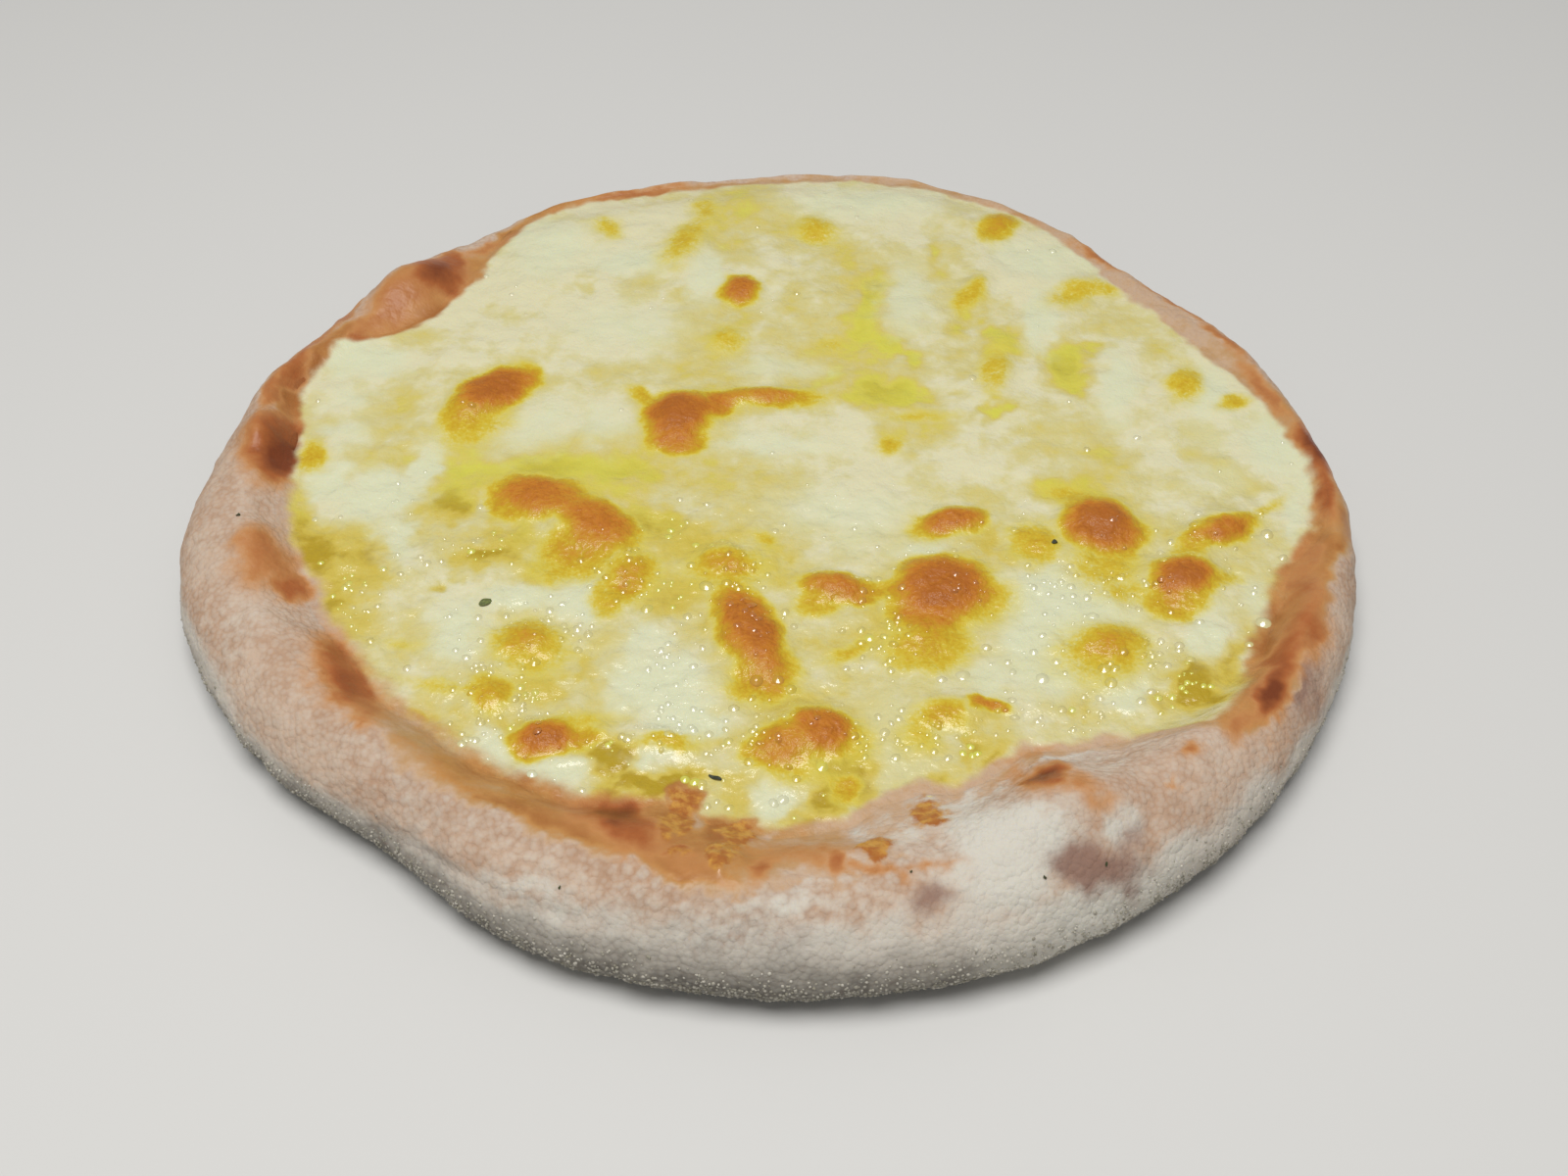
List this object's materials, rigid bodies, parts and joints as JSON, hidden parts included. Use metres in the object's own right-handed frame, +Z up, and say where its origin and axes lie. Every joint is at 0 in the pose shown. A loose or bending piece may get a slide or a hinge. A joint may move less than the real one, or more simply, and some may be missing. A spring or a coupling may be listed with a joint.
{
  "type": "cheese sfiha",
  "caption": "Open round flatbread of baked dough with a puffed, uneven rim, filled with melted cheese in browned blisters.",
  "frame": {"origin": "middle of the underside, on the surface that the sfiha rests on", "axes": "+Z up out of the cheese, -Y towards the broad front of the rim, +X to the right seen from the front"},
  "size_m": [0.1311, 0.1324, 0.0144],
  "materials": {
    "crust": "dry, pebbled baked dough with a dusting of flour, toasted beside the cheese",
    "melted_cheese": "oily melted white cheese with yellow pools and golden-brown blisters"
  },
  "bodies": {
    "root": {"dough": "crust", "cheese": "melted_cheese"}
  },
  "joints": []
}
